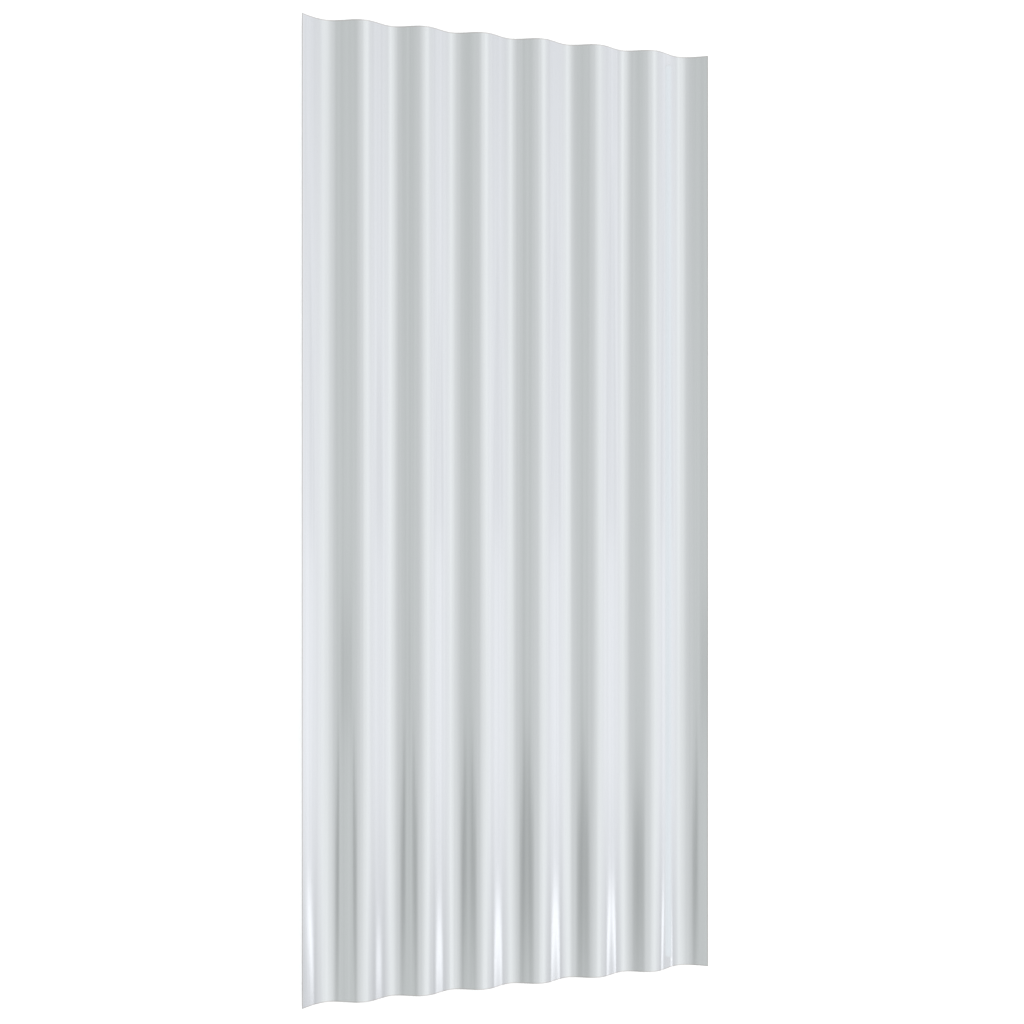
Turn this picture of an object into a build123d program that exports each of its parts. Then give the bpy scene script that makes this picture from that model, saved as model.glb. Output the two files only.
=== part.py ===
from build123d import *
import math
import os

# A light corrugated sheet, rolled as one piece from flat zinc coated steel strip.
# X runs across the waves, Y along them, and Z is up with the weather side on top.
# The sheet lies flat: its two side troughs are the lowest, and they rest on Z = 0.
# Sizes are in millimetres, and the waves are laid out on the middle of the metal.

# The strip
sheet_length = 1000.0
gauge = 0.5

# The waves. Each crest and trough is a tight bend up to a lean in degrees, and a wider bend, the
# shoulder, takes the strip on from there to the straight middle of the flank
pitch = 64.3
wave_depth = 11.2
crest_count = 6
bend_radius = 19.8
bend_lean = 18.3
shoulder_radius = 40.0
# The shoulder's corner is this share of the way across the flank
shoulder_share = 0.3

# The sides: each outermost trough is a little wider and deeper than the rest, and the flank beyond
# it leans more than the others out to the sheet's edge
side_half_wave = 35.2
side_trough_drop = 1.9
side_flank_run = 29.0
side_flank_rise = 13.5
side_flank_lean = 35.6
side_shoulder_radius = 65.0

# Slopes, and how far the corner of a tight bend stands beyond the bend itself
bend_slope = math.tan(math.radians(bend_lean))
side_slope = math.tan(math.radians(side_flank_lean))
overshoot = bend_radius * (1 / math.cos(math.radians(bend_lean)) - 1)

# Heights above the floor, and places on the right side
side_trough_height = gauge / 2
trough_height = side_trough_height + side_trough_drop
crest_height = trough_height + wave_depth
edge_height = side_trough_height + side_flank_rise
outer_crest_x = pitch * (crest_count - 1) / 2
side_trough_x = outer_crest_x + side_half_wave
edge_x = side_trough_x + side_flank_run

# The corners of the tight bends in turn, from the left side trough to the right one
bend_corners = [(-side_trough_x, side_trough_height - overshoot)]
for step in range(2 * crest_count - 1):
    x = step * pitch / 2 - outer_crest_x
    height = crest_height + overshoot if step % 2 == 0 else trough_height - overshoot
    bend_corners.append((x, height))
bend_corners.append((side_trough_x, side_trough_height - overshoot))

# Each flank adds two shoulder corners between its tight bends
section_corners = [bend_corners[0]]
section_radii = [bend_radius]
for start, end in zip(bend_corners, bend_corners[1:]):
    reach = shoulder_share * (end[0] - start[0])
    climb = math.copysign(reach * bend_slope, end[1] - start[1])
    section_corners += [(start[0] + reach, start[1] + climb), (end[0] - reach, end[1] - climb), end]
    section_radii += [shoulder_radius, shoulder_radius, bend_radius]

# The side flank's one shoulder stands where its two slopes meet, so that its rise comes out right
side_reach = (side_flank_run * side_slope - side_flank_rise - overshoot) / (side_slope - bend_slope)
shoulder_x = side_trough_x + side_reach
shoulder_height = side_trough_height - overshoot + side_reach * bend_slope
section_corners = [(-edge_x, edge_height), (-shoulder_x, shoulder_height)] + section_corners
section_corners += [(shoulder_x, shoulder_height), (edge_x, edge_height)]
section_radii = [side_shoulder_radius] + section_radii + [side_shoulder_radius]

# The section stands up from the plane of the floor, and the strip runs both ways from it
with BuildPart() as corrugated_sheet:
    with BuildSketch(Plane.XZ) as section:
        with BuildLine() as middle_of_strip:
            FilletPolyline(*section_corners, radius=section_radii)
        trace(line_width=gauge)
    extrude(amount=sheet_length / 2, both=True)

corrugated_sheet.part.label = "corrugated_sheet"

box = corrugated_sheet.part.bounding_box()
print(f"length {box.size.Y:.1f}, width {box.size.X:.2f}, height {box.size.Z:.2f}, lowest {box.min.Z:.4f}")

os.makedirs("parts", exist_ok=True)
export_step(corrugated_sheet.part, "parts/corrugated_sheet.step")
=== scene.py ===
import math
import bpy
from mathutils import Matrix, Vector


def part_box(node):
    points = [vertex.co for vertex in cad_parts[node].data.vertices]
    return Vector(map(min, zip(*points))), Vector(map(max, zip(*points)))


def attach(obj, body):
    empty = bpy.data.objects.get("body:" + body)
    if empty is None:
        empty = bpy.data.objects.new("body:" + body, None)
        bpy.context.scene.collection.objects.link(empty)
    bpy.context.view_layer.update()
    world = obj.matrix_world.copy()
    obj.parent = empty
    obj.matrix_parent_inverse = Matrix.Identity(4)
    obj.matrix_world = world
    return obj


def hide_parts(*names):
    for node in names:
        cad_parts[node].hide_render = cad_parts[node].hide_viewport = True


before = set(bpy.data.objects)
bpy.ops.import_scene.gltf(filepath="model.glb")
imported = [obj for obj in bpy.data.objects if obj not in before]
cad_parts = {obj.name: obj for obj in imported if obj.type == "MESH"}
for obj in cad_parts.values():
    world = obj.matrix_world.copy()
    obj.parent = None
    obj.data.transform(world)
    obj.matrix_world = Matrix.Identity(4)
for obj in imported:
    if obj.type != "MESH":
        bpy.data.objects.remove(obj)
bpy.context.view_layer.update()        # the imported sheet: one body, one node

nodeLow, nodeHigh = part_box("corrugated_sheet")
print("frame loaded, sheet box in mm:", [round(side * 1000, 2) for side in nodeHigh - nodeLow])

mm = 0.001


def toLinear(hexColour):
    channels = [int(hexColour[place:place + 2], 16) / 255 for place in (1, 3, 5)]
    linear = [
        value / 12.92 if value <= 0.04045 else ((value + 0.055) / 1.055) ** 2.4
        for value in channels]
    return (*linear, 1.0)


def addNode(tree, kind, settings, inputs):
    node = tree.nodes.new(kind)
    for name, value in settings.items():
        setattr(node, name, value)
    for name, value in inputs.items():
        if isinstance(value, bpy.types.NodeSocket):
            tree.links.new(value, node.inputs[name])
        else:
            node.inputs[name].default_value = value
    return node


# The zinc: hot-dip galvanised steel, skin passed so that no spangle shows. It is semi-bright and a little
# cool, with faint light and dark lines along the strip from the rolls. Along each cut the shears scuff it,
# and painted shade darkens that band too, drawing a thin dull line round the sheet. Real roll lines and
# shear scuffs are a fraction of a millimetre wide, too fine to show, so both are drawn as coarse as they
# need
galvanised = {
    "lightLine": "#eaedf0",
    "darkLine": "#e2e5e8",
    "lineSpan": (0.3, 0.7),     # the middle of the noise, where most of it lies, takes both colours
    "roughness": 0.13,
    "roughnessSpread": 0.03,
    "rollLineWidth": 5.0,       # mm across the sheet
    "rollLineLength": 1500.0,   # mm along it
    "rollLineDetail": 3.0,      # finer lines within each, every one half as wide as the last
    "rollLineDepth": 0.015,     # mm
    # The band along the cuts: the shears' scuff and painted shade, darker and warmer than the zinc
    "scuffAndEdgeShadeColour": "#dcdbdb",
    "scuffAndEdgeShadeWidth": 1.2,          # mm
}


def makeGalvanised():
    material = bpy.data.materials.new("galvanisedSteel")
    material.use_nodes = True
    tree = material.node_tree
    shader = tree.nodes["Principled BSDF"]
    shader.inputs["Metallic"].default_value = 1.0
    place = addNode(tree, "ShaderNodeTexCoord", {}, {})
    across = 1 / (galvanised["rollLineWidth"] * mm)
    along = 1 / (galvanised["rollLineLength"] * mm)
    stretched = addNode(tree, "ShaderNodeMapping", {}, {
        "Vector": place.outputs["Object"], "Scale": (across, along, across)})
    lines = addNode(tree, "ShaderNodeTexNoise", {}, {
        "Vector": stretched.outputs["Vector"], "Scale": 1.0, "Detail": galvanised["rollLineDetail"]})
    low = galvanised["roughness"] - galvanised["roughnessSpread"] / 2
    high = galvanised["roughness"] + galvanised["roughnessSpread"] / 2
    sheen = addNode(tree, "ShaderNodeMapRange", {}, {
        "Value": lines.outputs["Fac"], "To Min": low, "To Max": high})
    tree.links.new(sheen.outputs["Result"], shader.inputs["Roughness"])
    relief = addNode(tree, "ShaderNodeBump", {}, {
        "Height": lines.outputs["Fac"], "Strength": 1.0, "Distance": galvanised["rollLineDepth"] * mm})
    tree.links.new(relief.outputs["Normal"], shader.inputs["Normal"])
    darkest, lightest = galvanised["lineSpan"]
    shade = addNode(tree, "ShaderNodeMapRange", {}, {
        "Value": lines.outputs["Fac"], "From Min": darkest, "From Max": lightest})
    zinc = addNode(tree, "ShaderNodeMix", {"data_type": "RGBA"}, {
        0: shade.outputs["Result"],
        6: toLinear(galvanised["darkLine"]),
        7: toLinear(galvanised["lightLine"])})
    # The scuff with its painted edge shade: within its width of the sides, or of the ends
    position = addNode(tree, "ShaderNodeSeparateXYZ", {}, {0: place.outputs["Object"]})
    nearCut = []
    for axis, cut in {"X": nodeHigh.x, "Y": nodeHigh.y}.items():
        fromMiddle = addNode(tree, "ShaderNodeMath", {"operation": "ABSOLUTE"}, {
            0: position.outputs[axis]})
        beyond = addNode(tree, "ShaderNodeMath", {"operation": "GREATER_THAN"}, {
            0: fromMiddle.outputs[0], 1: cut - galvanised["scuffAndEdgeShadeWidth"] * mm})
        nearCut.append(beyond.outputs[0])
    scuffAndEdgeShadeBand = addNode(tree, "ShaderNodeMath", {"operation": "MAXIMUM"}, {0: nearCut[0], 1: nearCut[1]})
    # The zinc, with the shears' scuff and painted shade laid along each cut
    colour = addNode(tree, "ShaderNodeMix", {"data_type": "RGBA"}, {
        0: scuffAndEdgeShadeBand.outputs[0], 6: zinc.outputs[2], 7: toLinear(galvanised["scuffAndEdgeShadeColour"])})
    tree.links.new(colour.outputs[2], shader.inputs["Base Color"])
    return material


# The cut edge: sheared mild steel, duller and a little warmer than the zinc on the faces
shearedEdge = {"colour": "#94928f", "roughness": 0.42}


def makeShearedEdge():
    material = bpy.data.materials.new("shearedSteelEdge")
    material.use_nodes = True
    shader = material.node_tree.nodes["Principled BSDF"]
    shader.inputs["Metallic"].default_value = 1.0
    shader.inputs["Base Color"].default_value = toLinear(shearedEdge["colour"])
    shader.inputs["Roughness"].default_value = shearedEdge["roughness"]
    return material


# The sheet, in mm. Each flank is half a cosine, and the one beyond each side trough is a quarter of a
# longer cosine, steepest at the sheet's edge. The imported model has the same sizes
sheet = {
    "gauge": 0.5,
    "pitch": 64.3,
    "waveDepth": 11.2,
    "crests": 6,
    "sideHalfWave": 35.2,
    "sideDrop": 1.9,
    "sideFlankRun": 29.0,
    "sideFlankRise": 13.5,
    "columns": 673,             # points across the waves
    "rows": 12,                 # points along the sheet
    "edgeRound": 0.06,
    "edgeSegments": 2,
    "edgeAngle": 50,            # degrees: corners sharper than this are rounded
}


def sectionPlaces():
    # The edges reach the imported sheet's own top corners, and the side troughs its lowest level
    halfMetal = sheet["gauge"] / 2
    lean = math.atan(math.pi / 2 * sheet["sideFlankRise"] / sheet["sideFlankRun"])
    edgeX = nodeHigh.x / mm - halfMetal * math.sin(lean)
    edgeHeight = nodeHigh.z / mm - halfMetal * math.cos(lean)
    sideHeight = nodeLow.z / mm + halfMetal
    outerCrestX = sheet["pitch"] * (sheet["crests"] - 1) / 2
    sideX = outerCrestX + sheet["sideHalfWave"]
    return {
        "Outer Crest Across": outerCrestX * mm, "Side Across": sideX * mm, "Edge Across": edgeX * mm,
        "Crest Height": (sideHeight + sheet["sideDrop"] + sheet["waveDepth"]) * mm,
        "Side Height": sideHeight * mm,
        # The side flank is a quarter of its cosine: half the run and half the rise of a half wave
        "Edge Half Wave": 2 * (edgeX - sideX) * mm, "Edge Depth": 2 * (edgeHeight - sideHeight) * mm,
    }


def cosineClimb(tree, way, halfWave, depth):
    share = addNode(tree, "ShaderNodeMath", {"operation": "DIVIDE"}, {0: way, 1: halfWave})
    turn = addNode(tree, "ShaderNodeMath", {"operation": "MULTIPLY"}, {0: share.outputs[0], 1: math.pi})
    level = addNode(tree, "ShaderNodeMath", {"operation": "COSINE"}, {0: turn.outputs[0]})
    climb = addNode(tree, "ShaderNodeMath", {"operation": "SUBTRACT"}, {0: 1.0, 1: level.outputs[0]})
    half = addNode(tree, "ShaderNodeMath", {"operation": "DIVIDE"}, {0: depth, 1: 2.0})
    height = addNode(tree, "ShaderNodeMath", {"operation": "MULTIPLY"}, {
        0: climb.outputs[0], 1: half.outputs[0]})
    return height.outputs[0]


def makeSheetTree(sizes):
    tree = bpy.data.node_groups.new("corrugatedSheet", "GeometryNodeTree")
    tree.interface.new_socket("Geometry", in_out="OUTPUT", socket_type="NodeSocketGeometry")
    kinds = {"Columns": "Int", "Rows": "Int", "Finish": "Material"}
    sockets = {}
    for name in sizes:
        kind = "NodeSocket" + kinds.get(name, "Float")
        sockets[name] = tree.interface.new_socket(name, in_out="INPUT", socket_type=kind).identifier
    given = addNode(tree, "NodeGroupInput", {}, {}).outputs
    # An even row of points across the sheet, each then set to its height
    line = addNode(tree, "GeometryNodeMeshLine", {}, {"Count": given["Columns"]})
    index = addNode(tree, "GeometryNodeInputIndex", {}, {})
    last = addNode(tree, "ShaderNodeMath", {"operation": "SUBTRACT"}, {0: given["Columns"], 1: 1.0})
    leftEdge = addNode(tree, "ShaderNodeMath", {"operation": "MULTIPLY"}, {
        0: given["Edge Across"], 1: -1.0})
    across = addNode(tree, "ShaderNodeMapRange", {}, {
        "Value": index.outputs[0], "From Max": last.outputs[0],
        "To Min": leftEdge.outputs[0], "To Max": given["Edge Across"]})
    # The two sides are alike, so heights go by the distance from the middle
    fromMiddle = addNode(tree, "ShaderNodeMath", {"operation": "ABSOLUTE"}, {0: across.outputs[0]})
    pastCrest = addNode(tree, "ShaderNodeMath", {"operation": "SUBTRACT"}, {
        0: fromMiddle.outputs[0], 1: given["Outer Crest Across"]})
    pastSide = addNode(tree, "ShaderNodeMath", {"operation": "SUBTRACT"}, {
        0: fromMiddle.outputs[0], 1: given["Side Across"]})
    waveFall = cosineClimb(tree, pastCrest.outputs[0], given["Half Wave"], given["Wave Depth"])
    sideFall = cosineClimb(tree, pastCrest.outputs[0], given["Side Half Wave"], given["Side Depth"])
    edgeClimb = cosineClimb(tree, pastSide.outputs[0], given["Edge Half Wave"], given["Edge Depth"])
    inSide = addNode(tree, "ShaderNodeMath", {"operation": "GREATER_THAN"}, {
        0: pastCrest.outputs[0], 1: 0.0})
    inEdge = addNode(tree, "ShaderNodeMath", {"operation": "GREATER_THAN"}, {
        0: pastSide.outputs[0], 1: 0.0})
    fall = addNode(tree, "ShaderNodeMix", {}, {"Factor": inSide.outputs[0], "A": waveFall, "B": sideFall})
    height = addNode(tree, "ShaderNodeMath", {"operation": "SUBTRACT"}, {
        0: given["Crest Height"], 1: fall.outputs[0]})
    edgeHeight = addNode(tree, "ShaderNodeMath", {"operation": "ADD"}, {
        0: given["Side Height"], 1: edgeClimb})
    height = addNode(tree, "ShaderNodeMix", {}, {
        "Factor": inEdge.outputs[0], "A": height.outputs[0], "B": edgeHeight.outputs[0]})
    # A profile's Y comes out downwards along this path, so heights are turned over here
    downwards = addNode(tree, "ShaderNodeMath", {"operation": "MULTIPLY"}, {
        0: height.outputs[0], 1: -1.0})
    place = addNode(tree, "ShaderNodeCombineXYZ", {}, {"X": across.outputs[0], "Y": downwards.outputs[0]})
    waves = addNode(tree, "GeometryNodeSetPosition", {}, {
        "Geometry": line.outputs["Mesh"], "Position": place.outputs[0]})
    section = addNode(tree, "GeometryNodeMeshToCurve", {}, {"Mesh": waves.outputs[0]})
    halfLength = addNode(tree, "ShaderNodeMath", {"operation": "DIVIDE"}, {
        0: given["Sheet Length"], 1: 2.0})
    nearHalf = addNode(tree, "ShaderNodeMath", {"operation": "MULTIPLY"}, {
        0: halfLength.outputs[0], 1: -1.0})
    near = addNode(tree, "ShaderNodeCombineXYZ", {}, {"Y": nearHalf.outputs[0]})
    far = addNode(tree, "ShaderNodeCombineXYZ", {}, {"Y": halfLength.outputs[0]})
    path = addNode(tree, "GeometryNodeCurvePrimitiveLine", {}, {
        "Start": near.outputs[0], "End": far.outputs[0]})
    path = addNode(tree, "GeometryNodeResampleCurve", {}, {
        "Curve": path.outputs[0], "Count": given["Rows"]})
    strip = addNode(tree, "GeometryNodeCurveToMesh", {}, {
        "Curve": path.outputs[0], "Profile Curve": section.outputs[0]})
    smooth = addNode(tree, "GeometryNodeSetShadeSmooth", {}, {
        "Geometry": strip.outputs[0], "Shade Smooth": True})
    real = addNode(tree, "GeometryNodeRealizeInstances", {}, {"Geometry": smooth.outputs[0]})
    finished = addNode(tree, "GeometryNodeSetMaterial", {}, {
        "Geometry": real.outputs[0], "Material": given["Finish"]})
    addNode(tree, "NodeGroupOutput", {}, {"Geometry": finished.outputs[0]})
    return tree, sockets


def makeSheet():
    sizes = sectionPlaces()
    sizes["Sheet Length"] = nodeHigh.y - nodeLow.y
    sizes["Half Wave"] = sheet["pitch"] / 2 * mm
    sizes["Wave Depth"] = sheet["waveDepth"] * mm
    sizes["Side Half Wave"] = sheet["sideHalfWave"] * mm
    sizes["Side Depth"] = (sheet["waveDepth"] + sheet["sideDrop"]) * mm
    sizes["Columns"] = sheet["columns"]
    sizes["Rows"] = sheet["rows"]
    sizes["Finish"] = makeGalvanised()
    edgeFinish = makeShearedEdge()
    tree, sockets = makeSheetTree(sizes)
    maker = bpy.data.objects.new("sheetMaker", bpy.data.meshes.new("sheetMaker"))
    bpy.context.scene.collection.objects.link(maker)
    # Solidify gives the rim faces the second finish only if its object has one
    maker.data.materials.append(sizes["Finish"])
    maker.data.materials.append(edgeFinish)
    rule = maker.modifiers.new("rule", "NODES")
    rule.node_group = tree
    for name, value in sizes.items():
        rule[sockets[name]] = value
    metal = maker.modifiers.new("metal", "SOLIDIFY")
    metal.thickness = sheet["gauge"] * mm
    metal.offset = 0.0
    metal.use_even_offset = True
    metal.material_offset_rim = 1
    rounding = maker.modifiers.new("rounding", "BEVEL")
    rounding.width = sheet["edgeRound"] * mm
    rounding.segments = sheet["edgeSegments"]
    rounding.limit_method = "ANGLE"
    rounding.angle_limit = math.radians(sheet["edgeAngle"])
    rounding.harden_normals = True
    evaluated = maker.evaluated_get(bpy.context.evaluated_depsgraph_get())
    mesh = bpy.data.meshes.new_from_object(evaluated)
    bpy.data.objects.remove(maker)
    # The nodes bring only the zinc, so the mesh gets the rim's finish here
    mesh.materials.append(edgeFinish)
    piece = bpy.data.objects.new("sheetMetal", mesh)
    bpy.context.scene.collection.objects.link(piece)
    cutFaces = sum(face.material_index == 1 for face in mesh.polygons)
    print("sheet made:", len(mesh.polygons), "faces,", cutFaces, "on the cut edge,", mesh.materials.keys())
    return piece


sheetMetal = makeSheet()
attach(sheetMetal, "root")
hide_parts("corrugated_sheet")

# Floor: plain pale ground that keeps the sheet's shadow. Rays from the camera, gloss and glass
# see it lifted to white
floorLook = {
    "colour": "#f2f2f2",
    "lift": 0.45,               # the glow that brings the lit ground up to white
    "halfSide": 6.0,            # metres
}


def makeFloor():
    reach = floorLook["halfSide"]
    mesh = bpy.data.meshes.new("floor")
    corners = [(-reach, -reach, 0), (reach, -reach, 0), (reach, reach, 0), (-reach, reach, 0)]
    mesh.from_pydata(corners, [], [(0, 1, 2, 3)])
    ground = bpy.data.objects.new("floor", mesh)
    bpy.context.scene.collection.objects.link(ground)
    material = bpy.data.materials.new("palePaper")
    material.use_nodes = True
    tree = material.node_tree
    tree.nodes.remove(tree.nodes["Principled BSDF"])
    matt = addNode(tree, "ShaderNodeBsdfDiffuse", {}, {"Color": toLinear(floorLook["colour"])})
    ray = addNode(tree, "ShaderNodeLightPath", {}, {})
    seen = addNode(tree, "ShaderNodeMath", {"operation": "MAXIMUM"}, {
        0: ray.outputs["Is Camera Ray"], 1: ray.outputs["Is Glossy Ray"]})
    seen = addNode(tree, "ShaderNodeMath", {"operation": "MAXIMUM"}, {
        0: seen.outputs[0], 1: ray.outputs["Is Transmission Ray"]})
    lift = addNode(tree, "ShaderNodeMath", {"operation": "MULTIPLY"}, {
        0: seen.outputs[0], 1: floorLook["lift"]})
    glow = addNode(tree, "ShaderNodeEmission", {}, {"Strength": lift.outputs[0]})
    both = addNode(tree, "ShaderNodeAddShader", {}, {0: matt.outputs[0], 1: glow.outputs[0]})
    tree.links.new(both.outputs[0], tree.nodes["Material Output"].inputs["Surface"])
    mesh.materials.append(material)
    return ground


makeFloor()
print("floor laid")

# Studio: a soft tent around the sheet. Its light goes by the angle across the sheet, from straight up,
# and by the angle along it, both in degrees. Cloths and cards hang in it: each has soft sides at two
# angles across, a soft upper end and foot at two angles along, where it starts to show and where it
# shows fully, and a level against the tent behind it
tent = {
    "strength": 1.144,
    # The tent is stronger from the second reflection on, which keeps the side trough bright where one
    # flank reflects the other
    "betweenFlanks": {"reflections": 1.5, "gain": 1.2},
    "sweep": [(-90, "#c9cbc9"), (-36, "#c8cac8"), (-24, "#d0d1d0"), (-8, "#d8d9d8"), (8, "#e8e9e8"),
              (26, "#f1f2f1"), (40, "#eeefef"), (54, "#ececed"), (72, "#eeeef0"), (90, "#f8f8fa")],
    "far": {
        "from": -1.0, "to": 17.5, "curve": 1.5,
        "lightSide": (22, 50), "lightLoss": 0.1,
        "darkSide": (-5, -30), "darkLoss": 0.034},
    "near": {"slant": 6.0, "slantUpTo": 60, "from": -19.5, "to": -29.5, "loss": 0.24},
    "panels": {
        "flag": {
            "left": (-41.5, -38), "right": (-34, -37), "end": (-7.6, -10.2), "foot": (-18, -13.5),
            "level": 0.64},
        "wideFlag": {
            "left": (-37, -34), "right": (-21, -36), "end": (-9.6, -12.2), "foot": (-20.5, -13.5),
            "level": 0.62},
        "darkCloth": {
            "left": (-90, -80), "right": (-42, -43.5), "end": (-3, -4.6), "foot": (-8.6, -7),
            "level": 0.85},
        "greyCard": {
            "left": (6, 14), "right": (36, 26), "end": (-2, -4.5), "foot": (-12.5, -9),
            "level": 0.98},
        # This one's upper end climbs to the right, by so many degrees along for each degree across
        "seam": {
            "left": (59, 67.5), "right": (84, 79), "end": (4, 2.4), "foot": (-2.2, 0.3),
            "slant": 0.8, "level": 0.92},
        "lowCloth": {
            "left": (57, 62), "right": (88, 84), "end": (-13, -14.8), "foot": (-80, -60),
            "level": 0.93},
        "whiteFloor": {
            "left": (-29, -18), "right": (43, 30), "end": (-14, -19.5), "foot": (-80, -60),
            "level": 1.09},
    },
    # A small softbox low on the light side, drawn as an ellipse that leans with the tilt. Its edge
    # starts to show and shows fully at these shares of its radius
    "softbox": {
        "across": 74.6, "along": -15.75, "halfWidth": 6.2, "halfHeight": 1.15, "tilt": 0.22,
        "edge": (1.25, 0.75), "level": 1.9},
}
softStep = {"interpolation_type": "SMOOTHSTEP"}


def hangPanel(tree, across, along, panel, light):
    sideways = addNode(tree, "ShaderNodeMath", {"operation": "SUBTRACT"}, {
        0: across, 1: panel["left"][1]})
    climbing = addNode(tree, "ShaderNodeMath", {"operation": "MULTIPLY_ADD"}, {
        0: sideways.outputs[0], 1: -panel.get("slant", 0.0), 2: along})
    angles = {"left": across, "right": across, "end": climbing.outputs[0], "foot": along}
    cover = 1.0
    for side, angle in angles.items():
        start, full = panel[side]
        step = addNode(tree, "ShaderNodeMapRange", softStep, {
            "Value": angle, "From Min": start, "From Max": full, "To Max": cover})
        cover = step.outputs["Result"]
    return relight(tree, cover, panel["level"], light)


def hangSoftbox(tree, across, along, softbox, light):
    aside = addNode(tree, "ShaderNodeMath", {"operation": "SUBTRACT"}, {0: across, 1: softbox["across"]})
    above = addNode(tree, "ShaderNodeMath", {"operation": "SUBTRACT"}, {0: along, 1: softbox["along"]})
    above = addNode(tree, "ShaderNodeMath", {"operation": "MULTIPLY_ADD"}, {
        0: aside.outputs[0], 1: -softbox["tilt"], 2: above.outputs[0]})
    spot = addNode(tree, "ShaderNodeCombineXYZ", {}, {"X": aside.outputs[0], "Y": above.outputs[0]})
    spot = addNode(tree, "ShaderNodeVectorMath", {"operation": "DIVIDE"}, {
        0: spot.outputs[0], 1: (softbox["halfWidth"], softbox["halfHeight"], 1.0)})
    fromCentre = addNode(tree, "ShaderNodeVectorMath", {"operation": "LENGTH"}, {0: spot.outputs[0]})
    start, full = softbox["edge"]
    cover = addNode(tree, "ShaderNodeMapRange", softStep, {
        "Value": fromCentre.outputs["Value"], "From Min": start, "From Max": full})
    return relight(tree, cover.outputs["Result"], softbox["level"], light)


def relight(tree, cover, level, light):
    # The light with a panel in it, by the share of the direction that the panel covers
    gain = addNode(tree, "ShaderNodeMapRange", {}, {"Value": cover, "To Min": 1.0, "To Max": level})
    lit = addNode(tree, "ShaderNodeVectorMath", {"operation": "SCALE"}, {
        0: light, "Scale": gain.outputs["Result"]})
    return lit.outputs[0]


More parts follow.
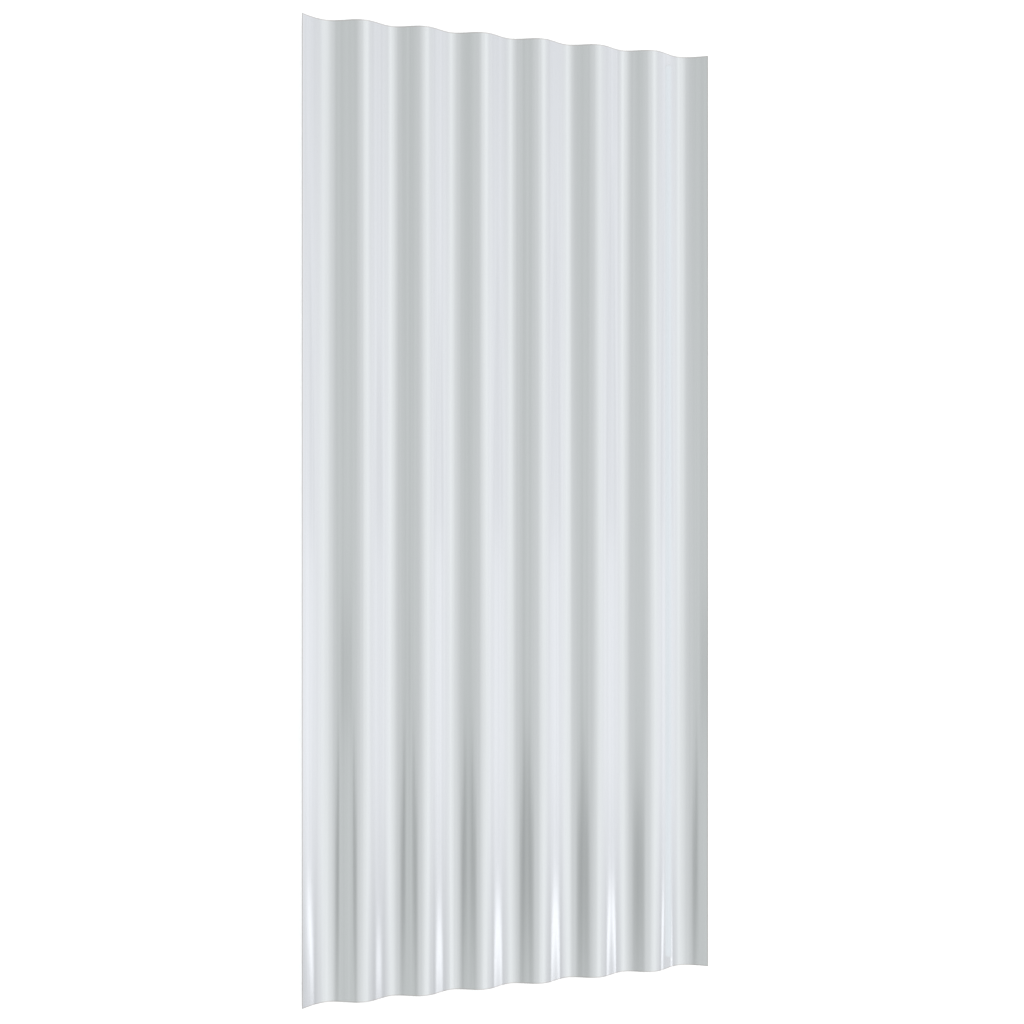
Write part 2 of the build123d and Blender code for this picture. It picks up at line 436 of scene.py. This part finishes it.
def makeTent():
    world = bpy.data.worlds.new("softTent")
    bpy.context.scene.world = world
    world.use_nodes = True
    tree = world.node_tree
    direction = addNode(tree, "ShaderNodeTexCoord", {}, {})
    way = addNode(tree, "ShaderNodeSeparateXYZ", {}, {0: direction.outputs["Generated"]}).outputs
    across = addNode(tree, "ShaderNodeMath", {"operation": "ARCTAN2"}, {0: way["X"], 1: way["Z"]})
    across = addNode(tree, "ShaderNodeMath", {"operation": "DEGREES"}, {0: across.outputs[0]}).outputs[0]
    along = addNode(tree, "ShaderNodeMath", {"operation": "ARCSINE"}, {0: way["Y"]})
    along = addNode(tree, "ShaderNodeMath", {"operation": "DEGREES"}, {0: along.outputs[0]}).outputs[0]
    first, last = tent["sweep"][0][0], tent["sweep"][-1][0]
    share = addNode(tree, "ShaderNodeMapRange", {}, {
        "Value": across, "From Min": first, "From Max": last})
    sweep = addNode(tree, "ShaderNodeValToRGB", {}, {"Fac": share.outputs["Result"]})
    sweep.color_ramp.interpolation = "B_SPLINE"
    stops = sweep.color_ramp.elements
    while len(stops) < len(tent["sweep"]):
        stops.new(0.5)
    for stop, (angle, colour) in zip(stops, tent["sweep"]):
        stop.position = (angle - first) / (last - first)
        stop.color = toLinear(colour)
    # The far end is dimmer on both sides, and not overhead
    far = tent["far"]
    farness = addNode(tree, "ShaderNodeMapRange", {}, {
        "Value": along, "From Min": far["from"], "From Max": far["to"]})
    farness = addNode(tree, "ShaderNodeMath", {"operation": "POWER"}, {
        0: farness.outputs["Result"], 1: far["curve"]})
    lightLoss = addNode(tree, "ShaderNodeMapRange", softStep, {
        "Value": across, "From Min": far["lightSide"][0], "From Max": far["lightSide"][1],
        "To Max": far["lightLoss"]})
    darkLoss = addNode(tree, "ShaderNodeMapRange", softStep, {
        "Value": across, "From Min": far["darkSide"][0], "From Max": far["darkSide"][1],
        "To Max": far["darkLoss"]})
    farLoss = addNode(tree, "ShaderNodeMath", {"operation": "ADD"}, {
        0: lightLoss.outputs["Result"], 1: darkLoss.outputs["Result"]})
    farLoss = addNode(tree, "ShaderNodeMath", {"operation": "MULTIPLY"}, {
        0: farness.outputs[0], 1: farLoss.outputs[0]})
    farGain = addNode(tree, "ShaderNodeMath", {"operation": "SUBTRACT"}, {0: 1.0, 1: farLoss.outputs[0]})
    light = addNode(tree, "ShaderNodeVectorMath", {"operation": "SCALE"}, {
        0: sweep.outputs["Color"], "Scale": farGain.outputs[0]}).outputs[0]
    # The light side also dims towards the near end, the more the lower it is
    near = tent["near"]
    lowness = addNode(tree, "ShaderNodeMath", {"operation": "MINIMUM"}, {0: across, 1: near["slantUpTo"]})
    lowness = addNode(tree, "ShaderNodeMath", {"operation": "MULTIPLY_ADD"}, {
        0: lowness.outputs[0], 1: -1 / near["slant"], 2: along})
    nearGain = addNode(tree, "ShaderNodeMapRange", {}, {
        "Value": lowness.outputs[0], "From Min": near["from"], "From Max": near["to"],
        "To Min": 1.0, "To Max": 1 - near["loss"]})
    light = addNode(tree, "ShaderNodeVectorMath", {"operation": "SCALE"}, {
        0: light, "Scale": nearGain.outputs["Result"]}).outputs[0]
    for panel in tent["panels"].values():
        light = hangPanel(tree, across, along, panel, light)
    light = hangSoftbox(tree, across, along, tent["softbox"], light)
    ray = addNode(tree, "ShaderNodeLightPath", {}, {})
    again = addNode(tree, "ShaderNodeMath", {"operation": "GREATER_THAN"}, {
        0: ray.outputs["Glossy Depth"], 1: tent["betweenFlanks"]["reflections"]})
    strength = addNode(tree, "ShaderNodeMapRange", {}, {
        "Value": again.outputs[0], "To Min": tent["strength"],
        "To Max": tent["strength"] * tent["betweenFlanks"]["gain"]})
    studio = addNode(tree, "ShaderNodeBackground", {}, {
        "Color": light, "Strength": strength.outputs["Result"]})
    # The camera sees plain white behind everything
    white = addNode(tree, "ShaderNodeBackground", {}, {"Color": (1, 1, 1, 1), "Strength": 1.0})
    shown = addNode(tree, "ShaderNodeMixShader", {}, {
        "Fac": ray.outputs["Is Camera Ray"], 1: studio.outputs[0], 2: white.outputs[0]})
    tree.links.new(shown.outputs[0], tree.nodes["World Output"].inputs["Surface"])


makeTent()
print("studio made")

# Camera: looks down on the sheet from a little to its left
view = {
    "lens": 53.5,               # mm
    "sensor": 36.0,             # mm
    "lean": 18.71,              # degrees from straight down
    "distance": 1.6052,         # metres from the middle of the waves
    "along": -0.0011,           # metres from the middle of the sheet
    "sideways": -0.00045,       # metres across the line of sight
}


def makeCamera():
    lean = math.radians(view["lean"])
    waveMiddle = sectionPlaces()["Crest Height"] - sheet["waveDepth"] / 2 * mm
    middle = Vector((0, view["along"], waveMiddle))
    right = Vector((math.cos(lean), 0, math.sin(lean)))
    back = Vector((-math.sin(lean), 0, math.cos(lean)))
    data = bpy.data.cameras.new("camera")
    data.lens = view["lens"]
    data.sensor_width = view["sensor"]
    data.sensor_fit = "HORIZONTAL"
    camera = bpy.data.objects.new("camera", data)
    bpy.context.scene.collection.objects.link(camera)
    turn = Matrix((right, Vector((0, 1, 0)), back)).transposed().to_4x4()
    place = middle + back * view["distance"] + right * view["sideways"]
    camera.matrix_world = Matrix.Translation(place) @ turn
    bpy.context.scene.camera = camera


makeCamera()
bpy.context.scene.view_settings.view_transform = "Standard"
print("camera placed")
